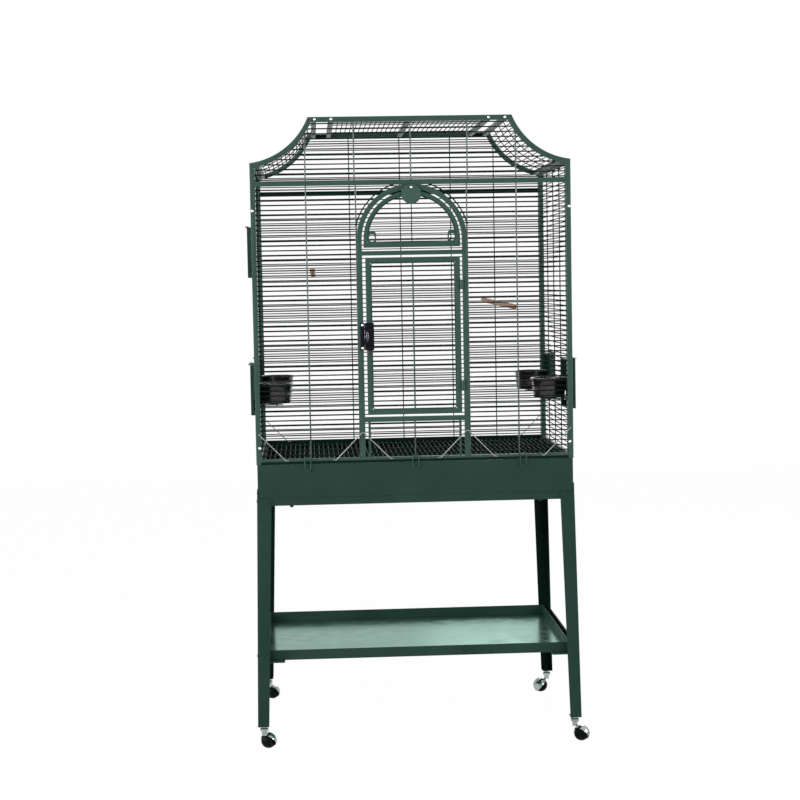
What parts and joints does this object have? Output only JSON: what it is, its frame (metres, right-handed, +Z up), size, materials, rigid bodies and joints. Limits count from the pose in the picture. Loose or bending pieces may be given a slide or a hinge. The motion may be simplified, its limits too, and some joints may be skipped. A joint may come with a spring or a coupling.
{
  "type": "bird flight cage",
  "caption": "Tall flight cage with an arched front doorway, inward-curved shoulders and a flat barred top, slide-out tray and grate, on a splayed rolling stand with a lower shelf.",
  "frame": {"origin": "on the floor under the middle of the cage", "axes": "+Z up, -Y towards the front with the doors, +X to the right seen from the front"},
  "size_m": [0.8621, 0.5966, 1.6131],
  "materials": {
    "green_powder_coat": "smooth dark green powder coat, satin gloss",
    "bright_steel": "bright plain steel",
    "dark_chrome": "chromed sheet, dark reflections",
    "black_plastic": "glossy black",
    "caster_tread": "black, slightly glossy",
    "perch_wood": "plain turned hardwood dowel"
  },
  "bodies": {
    "cage": {"front_frame": "green_powder_coat", "front_wires_left": "green_powder_coat", "front_wires_right": "green_powder_coat", "front_wires_head": "green_powder_coat", "front_wires_below_door": "green_powder_coat", "back_panel": "green_powder_coat", "left_panel": "green_powder_coat", "right_panel": "green_powder_coat", "top_panel": "green_powder_coat", "curve_panel_left": "green_powder_coat", "curve_panel_right": "green_powder_coat", "base_wall_left": "green_powder_coat", "base_wall_right": "green_powder_coat", "base_wall_back": "green_powder_coat", "lower_shelf": "green_powder_coat", "shelf_support_left": "green_powder_coat", "shelf_support_right": "green_powder_coat", "stand_rail_front": "green_powder_coat", "stand_rail_back": "green_powder_coat", "stand_rail_left": "green_powder_coat", "stand_rail_right": "green_powder_coat", "leg_front_left": "green_powder_coat", "leg_front_right": "green_powder_coat", "leg_back_left": "green_powder_coat", "leg_back_right": "green_powder_coat", "door_hinge_pin_lower": "bright_steel", "door_hinge_pin_upper": "bright_steel", "arch_door_pin_left": "bright_steel", "arch_door_pin_right": "bright_steel", "stay_corner_left": "bright_steel", "stay_door_left": "bright_steel", "stay_door_right": "bright_steel", "stay_corner_right": "bright_steel", "lock_keeper": "black_plastic", "perch_left": "perch_wood", "perch_right": "perch_wood"},
    "main_door": {"main_door": "green_powder_coat", "lock_case": "black_plastic"},
    "lock_knob": {"lock_knob": "black_plastic"},
    "arch_door": {"arch_door": "green_powder_coat"},
    "latch_disc": {"latch_disc": "green_powder_coat"},
    "waste_tray": {"waste_tray": "green_powder_coat"},
    "floor_grate": {"floor_grate": "green_powder_coat"},
    "feeder_door_left_front": {"feeder_door_left_front": "green_powder_coat"},
    "cup_left_front": {"cup_left_front": "black_plastic"},
    "feeder_door_left_back": {"feeder_door_left_back": "green_powder_coat"},
    "cup_left_back": {"cup_left_back": "black_plastic"},
    "feeder_door_left_upper": {"feeder_door_left_upper": "green_powder_coat"},
    "feeder_door_right_front": {"feeder_door_right_front": "green_powder_coat"},
    "cup_right_front": {"cup_right_front": "black_plastic"},
    "feeder_door_right_back": {"feeder_door_right_back": "green_powder_coat"},
    "cup_right_back": {"cup_right_back": "black_plastic"},
    "caster_hood_front_left": {"caster_hood_front_left": "dark_chrome"},
    "caster_ball_front_left": {"caster_ball_front_left": "caster_tread"},
    "caster_hood_front_right": {"caster_hood_front_right": "dark_chrome"},
    "caster_ball_front_right": {"caster_ball_front_right": "caster_tread"},
    "caster_hood_back_left": {"caster_hood_back_left": "dark_chrome"},
    "caster_ball_back_left": {"caster_ball_back_left": "caster_tread"},
    "caster_hood_back_right": {"caster_hood_back_right": "dark_chrome"},
    "caster_ball_back_right": {"caster_ball_back_right": "caster_tread"}
  },
  "joints": [
    {"name": "main_door_hinge", "type": "hinge", "parent": "cage", "child": "main_door", "pos_m": [0.1243, -0.2713, 1.058], "axis": [0, 0, 1], "range_deg": [0, 120]},
    {"name": "lock_turn", "type": "hinge", "parent": "main_door", "child": "lock_knob", "pos_m": [-0.1182, -0.2848, 1.0584], "axis": [0, -1, 0], "range_deg": [0, 90]},
    {"name": "arch_door_hinge", "type": "hinge", "parent": "cage", "child": "arch_door", "pos_m": [0, -0.26015, 1.2896], "axis": [1, 0, 0], "range_deg": [0, 90]},
    {"name": "latch_disc_turn", "type": "hinge", "parent": "arch_door", "child": "latch_disc", "pos_m": [0, -0.2686, 1.434], "axis": [0, -1, 0], "continuous": true},
    {"name": "tray_slide", "type": "slide", "parent": "cage", "child": "waste_tray", "axis": [0, -1, 0], "range_m": [0, 0.45]},
    {"name": "grate_slide", "type": "slide", "parent": "cage", "child": "floor_grate", "axis": [0, -1, 0], "range_m": [0, 0.45]},
    {"name": "feeder_door_left_front_lift", "type": "slide", "parent": "cage", "child": "feeder_door_left_front", "axis": [0, 0, 1], "range_m": [0, 0.105]},
    {"name": "cup_left_front_lift", "type": "slide", "parent": "cage", "child": "cup_left_front", "axis": [0, 0, 1], "range_m": [0, 0.025]},
    {"name": "feeder_door_left_back_lift", "type": "slide", "parent": "cage", "child": "feeder_door_left_back", "axis": [0, 0, 1], "range_m": [0, 0.105]},
    {"name": "cup_left_back_lift", "type": "slide", "parent": "cage", "child": "cup_left_back", "axis": [0, 0, 1], "range_m": [0, 0.025]},
    {"name": "feeder_door_left_upper_lift", "type": "slide", "parent": "cage", "child": "feeder_door_left_upper", "axis": [0, 0, 1], "range_m": [0, 0.105]},
    {"name": "feeder_door_right_front_lift", "type": "slide", "parent": "cage", "child": "feeder_door_right_front", "axis": [0, 0, 1], "range_m": [0, 0.105]},
    {"name": "cup_right_front_lift", "type": "slide", "parent": "cage", "child": "cup_right_front", "axis": [0, 0, 1], "range_m": [0, 0.025]},
    {"name": "feeder_door_right_back_lift", "type": "slide", "parent": "cage", "child": "feeder_door_right_back", "axis": [0, 0, 1], "range_m": [0, 0.105]},
    {"name": "cup_right_back_lift", "type": "slide", "parent": "cage", "child": "cup_right_back", "axis": [0, 0, 1], "range_m": [0, 0.025]},
    {"name": "caster_front_left_swivel", "type": "hinge", "parent": "cage", "child": "caster_hood_front_left", "pos_m": [-0.4025, -0.264, 0.05], "axis": [0, 0, 1], "continuous": true},
    {"name": "caster_front_left_roll", "type": "hinge", "parent": "caster_hood_front_left", "child": "caster_ball_front_left", "pos_m": [-0.39243, -0.24908, 0.0195], "axis": [-0.829, 0.5592, 0], "continuous": true},
    {"name": "caster_front_right_swivel", "type": "hinge", "parent": "cage", "child": "caster_hood_front_right", "pos_m": [0.4025, -0.264, 0.05], "axis": [0, 0, 1], "continuous": true},
    {"name": "caster_front_right_roll", "type": "hinge", "parent": "caster_hood_front_right", "child": "caster_ball_front_right", "pos_m": [0.41809, -0.273, 0.0195], "axis": [0.5, 0.866, 0], "continuous": true},
    {"name": "caster_back_left_swivel", "type": "hinge", "parent": "cage", "child": "caster_hood_back_left", "pos_m": [-0.4025, 0.264, 0.05], "axis": [0, 0, 1], "continuous": true},
    {"name": "caster_back_left_roll", "type": "hinge", "parent": "caster_hood_back_left", "child": "caster_ball_back_left", "pos_m": [-0.3927, 0.2791, 0.0195], "axis": [-0.8387, 0.5446, 0], "continuous": true},
    {"name": "caster_back_right_swivel", "type": "hinge", "parent": "cage", "child": "caster_hood_back_right", "pos_m": [0.4025, 0.264, 0.05], "axis": [0, 0, 1], "continuous": true},
    {"name": "caster_back_right_roll", "type": "hinge", "parent": "caster_hood_back_right", "child": "caster_ball_back_right", "pos_m": [0.3845, 0.264, 0.0195], "axis": [0, -1, 0], "continuous": true}
  ],
  "couplings": [
    {"joint": "grate_slide", "follows": "tray_slide", "ratio": 1}
  ]
}
